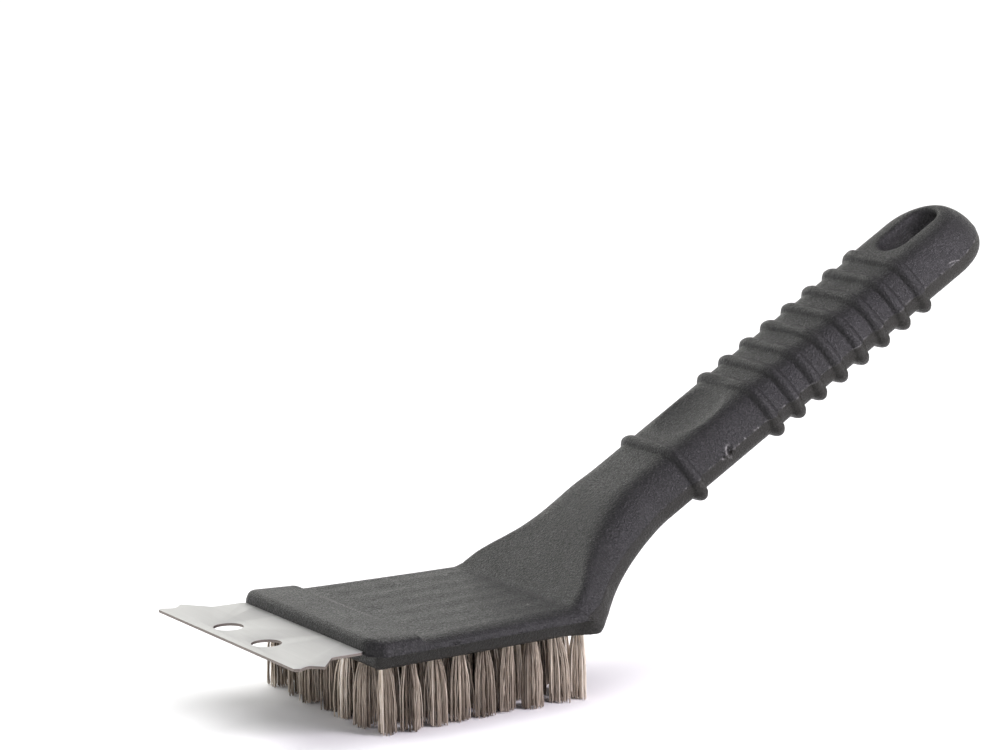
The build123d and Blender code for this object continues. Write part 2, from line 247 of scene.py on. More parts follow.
def marks(p):
    """Small one-sided blemishes: the gate scar on the grip's side, a nick in
    the flash along the block."""
    x, y, z = p[:, 0], p[:, 1], p[:, 2]
    s, n = to_grip(x, z)
    u, w = s - 12.3, n + 9.4
    d, th = np.hypot(u, w * 0.85), np.arctan2(w, u)
    r0 = 0.85 * (1 + 0.18 * np.sin(3 * th + 1.0) + 0.10 * np.sin(7 * th))
    add = 0.75 * (1 - step(d / r0, 0.35, 1.15))
    add = add - 0.20 * np.exp(-((d - 1.45) / 0.35) ** 2) * (0.8 + 0.6 * np.sin(2 * th + 0.8) + 0.3 * np.sin(5 * th))
    add = add + 0.06 * np.sin(s * 5.1 + n * 2.0) * np.exp(-(d / 2.4) ** 2)
    d2 = np.hypot(s - 9.8, n + 9.6)
    add = add + 0.25 * (1 - step(d2, 0.1, 0.5)) - 0.14 * np.exp(-((d2 - 0.6) / 0.2) ** 2)
    nick = 0.5 * np.exp(-((x - 16.0) / 0.9) ** 2 - ((z - 4.45) / 0.24) ** 2) - 0.38 * np.exp(-((x - 15.9) / 1.1) ** 2 - ((z - 3.75) / 0.28) ** 2)
    return np.where(y < -6, add + nick * (y < -20), 0.0)


def body_field(P, y):
    """Signed distance-like field of the body, in millimetres. P holds the
    planar values, y is broadcast against them and is never negative."""
    x, z, s, n = P["x"], P["z"], P["s"], P["n"]
    past = np.maximum(s - 95.6, 0.0)
    q = np.sqrt(past * past + y * y)
    side = (q - P["W"]) / np.sqrt(1 + P["sl"] ** 2 + P["flare"] ** 2)
    top = -P["v"]
    rim = P["v"] - P["D"]
    sd = P["seam"]
    side = side + 0.10 * np.clip(-sd, 0, 5.0) * step(x, 58.0, 66.0)
    hull = smax(smax(side, top, 1.8), rim, P["kr"])
    # half-round rings right around the grip
    ds = np.min(np.abs(np.stack([s - r for r in RING_S])), axis=0)
    drop = step(rim, -2.2, -0.4)
    wide = 0.28 * drop + 0.10 * step(side, -1.0, -0.2)
    tube = np.sqrt(np.maximum(hull + 0.42 - 0.30 * drop + wide, 0) ** 2 + ds * ds) - 1.72 - wide
    hull = np.where(ds < 4.0, smin(hull, tube, 0.5), hull)
    hull = np.maximum(hull, -0.0 - z)
    hull = hull + np.where(s > 0, -0.07, 0.11) * np.exp(-(sd / 0.20) ** 2)
    # brush block, lower layer
    back = (x + z - 60.3) * 0.7071
    yl = 33.15 - (x + 4.2) * 0.0668 - np.clip(4.0 - z, -1, 4.5) * 0.27
    lower_side = y - yl
    lower = smax(smax(lower_side, -z, 1.4), -(x + 4.75) + 0.10 * np.clip(4 - z, 0, 4), 1.8)
    lower = smax(lower, z - 4.6, 0.2)
    # brush block, top layer
    ins = inset(z, x)
    share = np.clip(1.0 - (x + 3.8) / 64.2 * 0.45, 0.5, 1.0)
    yd = 35.4 - (x + 3.8) * 0.07165
    up_side = (y - (yd - ins * share)) / np.sqrt(1 + np.clip((z - 4.0) / 1.4, 0, 2.4) ** 2)
    front = -(x + 7.4) + ins * 0.40
    corner = (y - 31.0 - (x + 7.4) * 1.222 + ins * 0.75) / 1.579
    dt = deck_top(x)
    # faint hollows over the tuft rows
    k = 8.73 * (1 + 0.12 * (4 - x / 7.0) / 8)
    wave = (0.075 + 0.035 * np.sin(x * 0.9 + 2.0 * np.round(y / k)) * np.sin(x * 0.37)) * np.cos(y / k * 2 * math.pi) * step(x, 11.0, 14.0) * (1 - step(x, 48.5, 51.5)) * (1 - step(y, 27.0, 29.0))
    upper = smax(up_side, z - dt + wave, 1.2)
    upper = smax(upper, front, 1.1)
    upper = smax(upper, corner, 1.0)
    low_lip = 4.0 + 0.4 * (x < -4.8) * (y < 31.2)
    upper = np.maximum(upper, low_lip - z)
    block = smin(lower, upper, 0.35)
    rag = 0.5 + 0.5 * np.sin(x * 1.9 + 1.3 * np.sin(x * 0.71)) * np.sin(x * 0.83 + 0.6)
    block = np.where(np.abs(z - 4.15) < 1.2, block - (0.06 + 0.20 * rag) * np.exp(-((z - 4.15) / 0.26) ** 2) * step(y, 20.0, 28.0), block)
    block = np.maximum(block, back)
    body = smin(block, hull, 1.3)
    body = smax(body, -z, 0.3)
    # channel
    chan = smax(smax(y - P["CW"], P["fl"], 1.2), P["fw"], 1.0)
    chan = smax(chan, s - 80.7, 1.4)
    disc = np.sqrt((s - 73.2) ** 2 + y * y)
    chan = np.where(disc < 5.0, chan - 0.22 * (step(disc, 3.9, 4.1) - 1.0), chan)
    for sc, rc in ((47.3, 2.7), (40.3, 2.7), (-15.9, 4.0)):
        d = np.sqrt((s - sc) ** 2 + y * y)
        chan = np.where(d < rc + 1, chan + 0.16 * np.exp(-((d - rc) / 0.28) ** 2), chan)
    body = smax(body, -chan, 0.7)
    # thumb rest
    rr = (10.2 ** 2 + 1.5 ** 2) / 3.0
    ball = np.sqrt((s - 14.6) ** 2 + y * y + (n + 1.3 + 1.5 - rr) ** 2) - rr
    body = smax(body, -ball, 0.28)
    # hanging slot
    slot = np.sqrt(np.maximum(np.abs(s - 94.9) - 4.3, 0) ** 2 + y * y) - 4.65
    body = smax(body, -slot, 1.9)
    # ejector marks beside the slot
    pin = np.sqrt((s - 96.2) ** 2 + (y - 7.9) ** 2)
    body = np.where((pin < 3) & (n < -12), body + 0.2 * (1 - step(pin, 1.65, 1.95)), body)
    # tuft holes, with a slightly raised lip round each
    hd = hole_distance(x, y)
    body = np.where((np.abs(z) < 1.5) & (hd < 1.4) & (x < 60), body - 0.10 * np.exp(-((hd - 0.35) / 0.35) ** 2), body)
    hole = smax(hd, z - 5.0, 0.3)
    body = smax(body, -hole, 0.35)
    return body


def field_at(p):
    x, z, y = p[:, 0], p[:, 2], np.abs(p[:, 1])
    return body_field(planar(x, z), y) + marks(p)


def gradient_at(p, e=0.06):
    k = np.array([[1, -1, -1], [-1, -1, 1], [-1, 1, -1], [1, 1, 1]], float)
    g = np.zeros_like(p)
    for kk in k:
        g += kk * field_at(p + kk * e)[:, None]
    return g / (4 * e)


def surface_nets(F, lo, h):
    """Quads over the zero level of a grid of values."""
    sgn = F < 0
    cell = np.zeros(tuple(np.array(F.shape) - 1), np.int8)
    for a in (0, 1):
        for b in (0, 1):
            for c in (0, 1):
                cell += sgn[a:F.shape[0] - 1 + a, b:F.shape[1] - 1 + b, c:F.shape[2] - 1 + c]
    act = np.argwhere((cell > 0) & (cell < 8))
    index = np.full(cell.shape, -1, np.int32)
    index[act[:, 0], act[:, 1], act[:, 2]] = np.arange(len(act))
    corners = np.array([(a, b, c) for a in (0, 1) for b in (0, 1) for c in (0, 1)])
    val = np.stack([F[act[:, 0] + a, act[:, 1] + b, act[:, 2] + c] for a, b, c in corners], 1)
    acc, cnt = np.zeros((len(act), 3)), np.zeros(len(act))
    for i in range(8):
        for j in range(i + 1, 8):
            if np.abs(corners[i] - corners[j]).sum() != 1:
                continue
            f0, f1 = val[:, i], val[:, j]
            cross = (f0 < 0) != (f1 < 0)
            t = np.where(cross, f0 / np.where(cross, f0 - f1, 1.0), 0.0)
            acc += np.where(cross[:, None], corners[i] + t[:, None] * (corners[j] - corners[i]), 0.0)
            cnt += cross
    verts = lo + (act + acc / cnt[:, None]) * h
    quads = []
    for ax in range(3):
        u, w = (ax + 1) % 3, (ax + 2) % 3
        sl0 = [slice(None)] * 3
        sl1 = [slice(None)] * 3
        sl0[ax], sl1[ax] = slice(0, -1), slice(1, None)
        s0, s1 = sgn[tuple(sl0)], sgn[tuple(sl1)]
        e = np.argwhere(s0 != s1)
        e = e[(e[:, u] > 0) & (e[:, w] > 0) & (e[:, u] < F.shape[u] - 1) & (e[:, w] < F.shape[w] - 1)]
        inside = s0[e[:, 0], e[:, 1], e[:, 2]]
        du, dw = np.eye(3, dtype=int)[u], np.eye(3, dtype=int)[w]
        c = [e - du - dw, e - dw, e, e - du]
        q = np.stack([index[k[:, 0], k[:, 1], k[:, 2]] for k in c], 1)
        q[~inside] = q[~inside][:, ::-1]
        quads.append(q)
    return verts, np.concatenate(quads)


def build_body(h=0.5):
    lo = np.array([-8.4, 0.0, -1.4])
    nx, ny, nz = int(204.6 / h), int(37.4 / h), int(96.4 / h)
    X = lo[0] + np.arange(nx) * h
    Y = np.arange(ny) * h
    Z = lo[2] + np.arange(nz) * h
    half = np.full((nx, ny, nz), 5.0, np.float32)
    for i in range(0, nx, 32):
        xs, zs = np.meshgrid(X[i:i + 32], Z, indexing="ij")
        s, n = to_grip(xs, zs)
        # leave out the empty space above and below the handle
        cols = ((xs < 54) & (zs < 11)) | ((xs >= 50) & (n < 3.0) & ((n > -17.5) | (xs < 75)))
        idx = np.argwhere(cols)
        if not len(idx):
            continue
        P = planar(xs[idx[:, 0], idx[:, 1]], zs[idx[:, 0], idx[:, 1]])
        P = {k: a[:, None] for k, a in P.items()}
        val = body_field(P, Y[None, :])
        half[i + idx[:, 0], :, idx[:, 1]] = val
    full = np.concatenate([half[:, :0:-1], half], axis=1)
    full[0], full[-1] = np.maximum(full[0], 0.1), np.maximum(full[-1], 0.1)
    verts, quads = surface_nets(full, np.array([lo[0], -(ny - 1) * h, lo[2]]), h)
    for _ in range(3):
        f, g = field_at(verts), gradient_at(verts)
        stepv = f[:, None] * g / np.maximum((g * g).sum(1), 0.2)[:, None]
        ln = np.linalg.norm(stepv, axis=1, keepdims=True)
        verts = verts - stepv * np.minimum(1.0, 0.45 * h / np.maximum(ln, 1e-9))
    return verts, quads


# ------------------------------------------------------------------ mesh tools
def mesh_object(name, verts, faces, smooth=True):
    me = bpy.data.meshes.new(name)
    me.from_pydata([tuple(v) for v in verts], [], [tuple(f) for f in faces])
    me.validate()
    me.update()
    if smooth:
        me.polygons.foreach_set("use_smooth", [True] * len(me.polygons))
    ob = bpy.data.objects.new(name, me)
    bpy.context.scene.collection.objects.link(ob)
    return ob


def big_mesh(name, verts, quads):
    me = bpy.data.meshes.new(name)
    n, m = len(verts), len(quads)
    me.vertices.add(n)
    me.vertices.foreach_set("co", np.asarray(verts, np.float32).ravel())
    me.loops.add(m * 4)
    me.loops.foreach_set("vertex_index", np.asarray(quads, np.int32).ravel())
    me.polygons.add(m)
    me.polygons.foreach_set("loop_start", np.arange(0, m * 4, 4, dtype=np.int32))
    me.update(calc_edges=True)
    me.validate()
    ob = bpy.data.objects.new(name, me)
    bpy.context.scene.collection.objects.link(ob)
    return ob


def apply_modifiers(ob):
    dg = bpy.context.evaluated_depsgraph_get()
    new = bpy.data.meshes.new_from_object(ob.evaluated_get(dg))
    old = ob.data
    ob.modifiers.clear()
    ob.data = new
    bpy.data.meshes.remove(old)


def refine(ob, pick, cuts=2):
    """Cut the triangles finer where pick(points in mm) is true."""
    me = ob.data
    co = np.empty(len(me.vertices) * 3, np.float32)
    me.vertices.foreach_get("co", co)
    sel = pick(co.reshape(-1, 3).astype(float) * 1000.0 + np.array([XM, 0.0, -ZB]))
    bm = bmesh.new()
    bm.from_mesh(me)
    bm.verts.ensure_lookup_table()
    edges = [e for e in bm.edges if sel[e.verts[0].index] and sel[e.verts[1].index]]
    bmesh.ops.subdivide_edges(bm, edges=edges, cuts=cuts, use_grid_fill=True)
    bmesh.ops.triangulate(bm, faces=[f for f in bm.faces if len(f.verts) > 3])
    bm.to_mesh(me)
    bm.free()


def rode(ob, slot, mat, *nodes):
    ob.data.materials.clear()
    ob.data.materials.append(mat)
    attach(ob, "root")
    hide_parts(*nodes)
    return ob


# ------------------------------------------------------------------- materials
class Nodes:
    """Short names for building a node tree."""

    def __init__(self, name):
        self.mat = bpy.data.materials.new(name)
        self.mat.use_nodes = True
        self.t = self.mat.node_tree
        self.t.nodes.clear()
        self.out = self.t.nodes.new("ShaderNodeOutputMaterial")
        self.bsdf = self.t.nodes.new("ShaderNodeBsdfPrincipled")
        self.t.links.new(self.bsdf.outputs[0], self.out.inputs[0])
        tc = self.t.nodes.new("ShaderNodeTexCoord")
        self.obj = tc.outputs["Object"]

    def link(self, a, b):
        self.t.links.new(a, b)
        return b

    def put(self, node, sock, val):
        s = node.inputs[sock]
        if hasattr(val, "links") or isinstance(val, bpy.types.NodeSocket):
            self.t.links.new(val, s)
        else:
            s.default_value = val

    def mapping(self, scale=(1, 1, 1), rot=(0, 0, 0), loc=(0, 0, 0), kind="POINT", src=None):
        n = self.t.nodes.new("ShaderNodeMapping")
        n.vector_type = kind
        n.inputs["Scale"].default_value = scale
        n.inputs["Rotation"].default_value = rot
        n.inputs["Location"].default_value = loc
        self.link(src or self.obj, n.inputs["Vector"])
        return n.outputs[0]

    def noise(self, scale, detail=3.0, rough=0.55, src=None, dist=0.0):
        n = self.t.nodes.new("ShaderNodeTexNoise")
        n.inputs["Scale"].default_value = scale
        n.inputs["Detail"].default_value = detail
        n.inputs["Roughness"].default_value = rough
        n.inputs["Distortion"].default_value = dist
        self.link(src or self.obj, n.inputs["Vector"])
        return n.outputs["Fac"]

    def voronoi(self, scale, feature="F1", src=None, rnd=1.0):
        n = self.t.nodes.new("ShaderNodeTexVoronoi")
        n.feature = feature
        n.inputs["Scale"].default_value = scale
        n.inputs["Randomness"].default_value = rnd
        self.link(src or self.obj, n.inputs["Vector"])
        return n.outputs["Distance"]

    def math(self, op, a, b=0.0, clamp=False):
        n = self.t.nodes.new("ShaderNodeMath")
        n.operation = op
        n.use_clamp = clamp
        self.put(n, 0, a)
        self.put(n, 1, b)
        return n.outputs[0]

    def remap(self, x, a, b, c=0.0, d=1.0):
        n = self.t.nodes.new("ShaderNodeMapRange")
        n.clamp = True
        self.link(x, n.inputs["Value"])
        for k, v in zip(("From Min", "From Max", "To Min", "To Max"), (a, b, c, d)):
            n.inputs[k].default_value = v
        return n.outputs["Result"]

    def ramp(self, x, stops):
        n = self.t.nodes.new("ShaderNodeValToRGB")
        el = n.color_ramp.elements
        while len(el) > 2:
            el.remove(el[-1])
        for k, (pos, col) in enumerate(stops):
            e = el[k] if k < 2 else el.new(pos)
            e.position = pos
            e.color = (*col, 1.0)
        self.link(x, n.inputs["Fac"])
        return n.outputs["Color"]

    def mix(self, f, a, b, mode="MIX"):
        n = self.t.nodes.new("ShaderNodeMix")
        n.data_type = "RGBA"
        n.blend_type = mode
        self.put(n, 0, f)
        ins = [i for i in n.inputs if i.type == "RGBA"]
        for s_, v in zip(ins, (a, b)):
            if isinstance(v, bpy.types.NodeSocket):
                self.link(v, s_)
            else:
                s_.default_value = (*v, 1.0) if len(v) == 3 else v
        return [o for o in n.outputs if o.type == "RGBA"][0]

    def attr(self, name):
        n = self.t.nodes.new("ShaderNodeAttribute")
        n.attribute_name = name
        return n

    def xyz(self, src):
        n = self.t.nodes.new("ShaderNodeSeparateXYZ")
        self.link(src, n.inputs[0])
        return n.outputs

    def bump(self, height, strength=0.5, dist=0.0001, normal=None):
        n = self.t.nodes.new("ShaderNodeBump")
        n.inputs["Strength"].default_value = strength
        n.inputs["Distance"].default_value = dist
        self.link(height, n.inputs["Height"])
        if normal is not None:
            self.link(normal, n.inputs["Normal"])
        return n.outputs["Normal"]


def plastic_material():
    """Black polypropylene with a spark-eroded grain."""
    m = Nodes("black_plastic")
    b = m.bsdf
    big = m.noise(95.0, 4.0, 0.6)
    mid = m.noise(820.0, 3.0, 0.6)
    fine = m.noise(2300.0, 2.0, 0.6)
    grit = m.voronoi(1900.0)
    specks = m.remap(m.voronoi(1050.0), 0.04, 0.09, 1.0, 0.0)
    gate = m.remap(m.noise(160.0, 2.0), 0.60, 0.68)
    specks = m.math("MULTIPLY", specks, gate)
    under = m.attr("under").outputs["Fac"]
    scuff_and_highlight = m.attr("scuff_and_highlight").outputs["Fac"]
    base = m.ramp(big, [(0.25, (0.0085, 0.0085, 0.0090)), (0.75, (0.0135, 0.0135, 0.0130))])
    base = m.mix(m.remap(fine, 0.46, 0.68), base, (0.029, 0.028, 0.029))
    base = m.mix(m.remap(mid, 0.62, 0.75, 0.0, 0.5), base, (0.006, 0.006, 0.006))
    # painted shade: below the seam and on the block's lower layer the plastic is made darker and olive
    base = m.mix(m.math("MULTIPLY", under, 0.80), base, (0.0085, 0.0080, 0.0045))
    base = m.mix(specks, base, (0.20, 0.195, 0.19))
    # pale marks lighten the plastic: real scuffs and nicks, plus a painted highlight along the strip's back edge
    pale_marks = m.math("MULTIPLY", scuff_and_highlight, m.remap(fine, 0.36, 0.60, 0.25, 1.0))
    base = m.mix(pale_marks, base, (0.23, 0.225, 0.22))
    m.link(base, b.inputs["Base Color"])
    rough = m.math("ADD", m.remap(big, 0.3, 0.7, 0.43, 0.51), m.remap(mid, 0.3, 0.7, -0.04, 0.05))
    rough = m.math("ADD", rough, m.remap(fine, 0.35, 0.65, 0.10, -0.12))
    rough = m.math("ADD", rough, m.math("MULTIPLY", scuff_and_highlight, 0.2))
    m.link(rough, b.inputs["Roughness"])
    b.inputs["Specular IOR Level"].default_value = 0.33
    b.inputs["IOR"].default_value = 1.49
    n1 = m.bump(fine, 1.0, 0.00032)
    n2 = m.bump(grit, 0.6, 0.00016, n1)
    n3 = m.bump(mid, 0.30, 0.00022, n2)
    n4 = m.bump(big, 0.25, 0.00055, n3)
    m.link(n4, b.inputs["Normal"])
    return m.mat


def steel_sheet_material():
    """Cold-rolled stainless sheet, lines along its long side."""
    m = Nodes("brushed_sheet")
    b = m.bsdf
    lines = m.noise(1.0, 3.0, 0.7, src=m.mapping(scale=(5200.0, 60.0, 900.0)))
    broad = m.noise(1.0, 2.0, 0.5, src=m.mapping(scale=(900.0, 14.0, 900.0)))
    cloud = m.noise(60.0, 4.0, 0.6)
    pits = m.remap(m.voronoi(420.0), 0.02, 0.05, 1.0, 0.0)
    pits = m.math("MULTIPLY", pits, m.remap(m.noise(120.0, 1.0), 0.55, 0.6))
    nrm = m.t.nodes.new("ShaderNodeNewGeometry")
    nz = m.math("ABSOLUTE", m.xyz(nrm.outputs["Normal"])[2])
    edge = m.remap(nz, 0.55, 0.9, 1.0, 0.0)
    base = m.ramp(lines, [(0.3, (0.462, 0.462, 0.455)), (0.7, (0.530, 0.530, 0.521))])
    base = m.mix(m.remap(cloud, 0.4, 0.7, 0.0, 0.30), base, (0.466, 0.462, 0.45))
    base = m.mix(pits, base, (0.28, 0.26, 0.24))
    base = m.mix(m.math("MULTIPLY", edge, 0.85), base, (0.15, 0.12, 0.10))
    m.link(base, b.inputs["Base Color"])
    b.inputs["Metallic"].default_value = 0.78
    b.inputs["Anisotropic"].default_value = 0.0
    m.link(m.math("ADD", m.remap(lines, 0.3, 0.7, 0.44, 0.58), m.remap(broad, 0.3, 0.7, -0.03, 0.04)), b.inputs["Roughness"])
    m.link(m.bump(lines, 0.22, 0.00003, m.bump(cloud, 0.02, 0.0003)), b.inputs["Normal"])
    return m.mat


def wire_material():
    m = Nodes("brush_wire")
    b = m.bsdf
    tone = m.attr("tone").outputs["Fac"]
    along = m.noise(1.0, 3.0, 0.6, src=m.mapping(scale=(2600.0, 2600.0, 260.0)))
    t = m.math("ADD", tone, m.remap(along, 0.3, 0.7, -0.16, 0.16), clamp=True)
    base = m.ramp(t, [(0.0, (0.075, 0.060, 0.048)), (0.30, (0.26, 0.212, 0.168)), (0.62, (0.64, 0.555, 0.455)), (1.0, (1.0, 0.95, 0.86))])
    m.link(base, b.inputs["Base Color"])
    b.inputs["Metallic"].default_value = 0.55
    m.link(m.remap(along, 0.3, 0.7, 0.30, 0.48), b.inputs["Roughness"])
    m.link(m.bump(along, 0.3, 0.00004), b.inputs["Normal"])
    return m.mat


def anchor_material():
    m = Nodes("anchor_wire")
    b = m.bsdf
    n = m.noise(1.0, 3.0, 0.6, src=m.mapping(scale=(4000.0, 900.0, 900.0)))
    m.link(m.ramp(n, [(0.3, (0.62, 0.61, 0.58)), (0.7, (0.85, 0.84, 0.82))]), b.inputs["Base Color"])
    b.inputs["Metallic"].default_value = 1.0
    m.link(m.remap(n, 0.3, 0.7, 0.16, 0.32), b.inputs["Roughness"])
    m.link(m.bump(n, 0.3, 0.00004), b.inputs["Normal"])
    return m.mat


PLASTIC, SHEET, WIRE, ANCHOR = plastic_material(), steel_sheet_material(), wire_material(), anchor_material()


# ------------------------------------------------------------------------ body
def outside(p):
    """True on the outer sides of the neck and grip."""
    x, y, z = p[:, 0], np.abs(p[:, 1]), p[:, 2]
    s, n = to_grip(x, z)
    return (x > 55) & ((y > 11.6) | (s > 96))


def near_detail(p):
    x, y, z = p[:, 0], p[:, 1], p[:, 2]
    s, n = to_grip(x, z)
    seam = (np.abs(seam_offset(x, z, s, n)) < 0.55) & outside(p)
    gate = (np.hypot(s - 12.0, n + 9.4) < 3.2) & (y < -8)
    nick = (np.hypot(x - 16.0, z - 4.1) < 2.2) & (y < -20)
    lip = (np.abs(x - 6.8) < 0.9) & (z > 6)
    end = (np.hypot(s - 94.2, n + 9.0) < 2.4) & (y < -8)
    cut = (np.hypot(x - 45.2, y + 18.9) < 1.8) & (z > 5) & (z < 9)
    rag = (np.abs(z - 4.2) < 0.55) & (np.abs(y) > 24) & (x < 56)
    return seam | gate | nick | lip | end | cut | rag


def scuff_and_highlight_of(p):
    """Pale marks: a thin broken line along the seam, rubbed places round the gate scar, two nicks; the pale line
    along the strip's back edge is a painted highlight.
    """
    x, y, z = p[:, 0], p[:, 1], p[:, 2]
    s, n = to_grip(x, z)
    o = seam_offset(x, z, s, n)
    along = 0.5 + 0.5 * np.sin(s * 1.7 + 2.1 * np.sin(s * 0.37)) * np.sin(s * 0.61 + 1.0)
    out = 0.60 * np.clip(along * 1.8 - 0.75, 0, 1) * np.exp(-(o / 0.16) ** 2) * outside(p) * (0.12 + 0.88 * step(s, -14.0, -2.0))
    d = np.hypot(s - 12.3, (n + 9.4) * 0.85)
    th = np.arctan2(n + 9.4, s - 12.3)
    pale_marks = np.clip(np.sin(th - 0.9), 0, 1) + 0.5 * np.clip(np.sin(3 * th + 1.7), 0, 1)
    out = out + (y < -8) * np.exp(-((d - 1.25 - 0.25 * np.sin(2 * th)) / 0.34) ** 2) * np.clip(pale_marks, 0, 1)
    t2 = np.arctan2(n + 9.6, s - 9.8)
    out = out + (y < -8) * 0.9 * np.exp(-((np.hypot(s - 9.8, n + 9.6) - 0.50) / 0.24) ** 2) * np.clip(np.cos(t2 - 3.6), 0, 1)
    for ds in (15.4, 17.6, 20.9, 22.2):
        out = out + (y < -8) * 0.9 * np.exp(-(np.hypot(s - ds, n + 9.45) / 0.22) ** 2)
    t = s - 94.2
    out = out + (y < -8) * 0.75 * (np.abs(t) < 1.9) * np.exp(-((n + 8.9 + 0.30 * t + 0.10 * t * t) / 0.16) ** 2)
    t = y + 18.9
    out = out + 0.9 * (np.abs(t) < 0.9) * (z > 5) * np.exp(-((x - 45.2 - 0.25 * t) / 0.20) ** 2)
    # painted highlight: a pale line along the strip's back edge
    out = out + 0.85 * (z > 6) * (np.abs(y) < 27) * np.exp(-((x - 6.6) / 0.34) ** 2) * (0.6 + 0.4 * np.sin(y * 0.9 + 2 * np.sin(y * 0.31)))
    out = out + 0.55 * (y < -20) * np.exp(-((x - 15.9) / 1.1) ** 2 - ((z - 3.75) / 0.3) ** 2)
    return np.clip(out, 0.0, 1.0)


def painted_shade_below_seam(p):
    """Painted shade mask: one below the seam and on the block's lower layer, else zero."""
    x, y, z = p[:, 0], p[:, 1], p[:, 2]
    s, n = to_grip(x, z)
    o = seam_offset(x, z, s, n)
    neck = (1 - step(o, -0.35, 0.15)) * outside(p)
    block = (1 - step(z, 3.9, 4.15)) * (x < 60)
    return np.maximum(neck, block)


def make_body():
    verts, quads = build_body(GRID)
    ob = big_mesh("moulded_body", metres(verts), quads)
    tris = 2 * len(quads)
    if tris > 150000:
        dec = ob.modifiers.new("thin_out", "DECIMATE")
        dec.ratio = 150000 / tris
        apply_modifiers(ob)
    refine(ob, near_detail)
    me = ob.data
    co = np.empty(len(me.vertices) * 3, np.float32)
    me.vertices.foreach_get("co", co)
    p = co.reshape(-1, 3).astype(float) * 1000.0 - np.array([-XM, 0.0, ZB])
    for _ in range(4):
        f, g = field_at(p), gradient_at(p)
        st = f[:, None] * g / np.maximum((g * g).sum(1), 0.2)[:, None]
        ln = np.linalg.norm(st, axis=1, keepdims=True)
        p = p - st * np.minimum(1.0, 0.12 / np.maximum(ln, 1e-9))
    me.vertices.foreach_set("co", metres(p).astype(np.float32).ravel())
    g = gradient_at(p, 0.10)
    g /= np.maximum(np.linalg.norm(g, axis=1, keepdims=True), 1e-9)
    me.update()
    me.polygons.foreach_set("use_smooth", [True] * len(me.polygons))
    me.normals_split_custom_set_from_vertices([tuple(v) for v in g])
    # the attribute under holds the painted shade mask for the lower sides
    for nm, val in (("scuff_and_highlight", scuff_and_highlight_of(p)), ("under", painted_shade_below_seam(p))):
        me.attributes.new(nm, "FLOAT", "POINT").data.foreach_set("value", val.astype(np.float32))
    print("body triangles", len(me.polygons))
    return rode(ob, "body_plastic", PLASTIC, "brush_body")


body = make_body()


# --------------------------------------------------------------------- scraper
def make_scraper():
    half = [(-28.6, 36.1), (-27.3, 37.0), (-25.6, 35.9), (-24.6, 35.6), (-23.7, 36.0), (-21.5, 38.3),
            (-16.05, 31.4), (-7.9, 31.2), (-6.4, 29.0), (-2.2, 29.0), (-2.2, 16.48), (3.2, 16.48),
            (3.2, 11.28), (-2.2, 11.28)]
    pts = half + [(x, -y) for x, y in reversed(half)]
    rad = {0: 0.2, 1: 0.25, 2: 0.6, 3: 1.1, 4: 0.7, 5: 0.25, 6: 0.9, 7: 0.3, 8: 0.5, 9: 0.5, 10: 0.5, 11: 0.8, 12: 0.8, 13: 0.5}

    def rounded(p, r_of):
        out = []
        k = len(p)
        for i in range(k):
            a, b, c = np.array(p[i - 1]), np.array(p[i]), np.array(p[(i + 1) % k])
            r = r_of(i)
            u, w = (a - b), (c - b)
            lu, lw = np.linalg.norm(u), np.linalg.norm(w)
            d = min(r, 0.42 * lu, 0.42 * lw)
            p0, p1 = b + u / lu * d, b + w / lw * d
            for t in np.linspace(0, 1, 6):
                out.append((1 - t) ** 2 * p0 + 2 * t * (1 - t) * b + t * t * p1)
        return out

    n = len(half)
    outline = rounded(pts, lambda i: rad[i] if i < n else rad[2 * n - 1 - i])
    cu = bpy.data.curves.new("sheet_outline", "CURVE")
    cu.dimensions = "2D"
    cu.fill_mode = "BOTH"
    loops = [outline]
    for cx, cy, r in ((-22.3, 10.1, 3.7), (-22.3, -10.1, 3.7), (0.3, 13.88, 1.5), (0.3, -13.88, 1.5)):
        loops.append([(cx + r * math.cos(t), cy + r * math.sin(t)) for t in np.linspace(0, 2 * math.pi, 72, endpoint=False)])
    for lp in loops:
        sp = cu.splines.new("POLY")
        sp.points.add(len(lp) - 1)
        for q, (x, y) in zip(sp.points, lp):
            q.co = (*(metres((x, y, 0))[:2]), 0, 1)
        sp.use_cyclic_u = True
    bev = 0.00007
    cu.extrude = 0.00035 - bev
    cu.bevel_depth = bev
    cu.bevel_resolution = 2
    cu.offset = -bev
    tmp = bpy.data.objects.new("sheet_tmp", cu)
    bpy.context.scene.collection.objects.link(tmp)
    bpy.context.view_layer.update()
    me = bpy.data.meshes.new_from_object(tmp.evaluated_get(bpy.context.evaluated_depsgraph_get()))
    bpy.data.objects.remove(tmp)
    me.name = "scraper_sheet"
    bm = bmesh.new()
    bm.from_mesh(me)
    bmesh.ops.remove_doubles(bm, verts=bm.verts, dist=1e-6)
    bmesh.ops.recalc_face_normals(bm, faces=bm.faces)
    z = float(metres((0, 0, 4.75))[2])
    for v in bm.verts:
        v.co.z += z
    bm.to_mesh(me)
    bm.free()
    me.polygons.foreach_set("use_smooth", [abs(q.normal.z) < 0.985 for q in me.polygons])
    ob = bpy.data.objects.new("scraper_sheet", me)
    bpy.context.scene.collection.objects.link(ob)
    me.set_sharp_from_angle(angle=math.radians(50))
    return rode(ob, "scraper_steel", SHEET, "scraper_blade")


scraper = make_scraper()


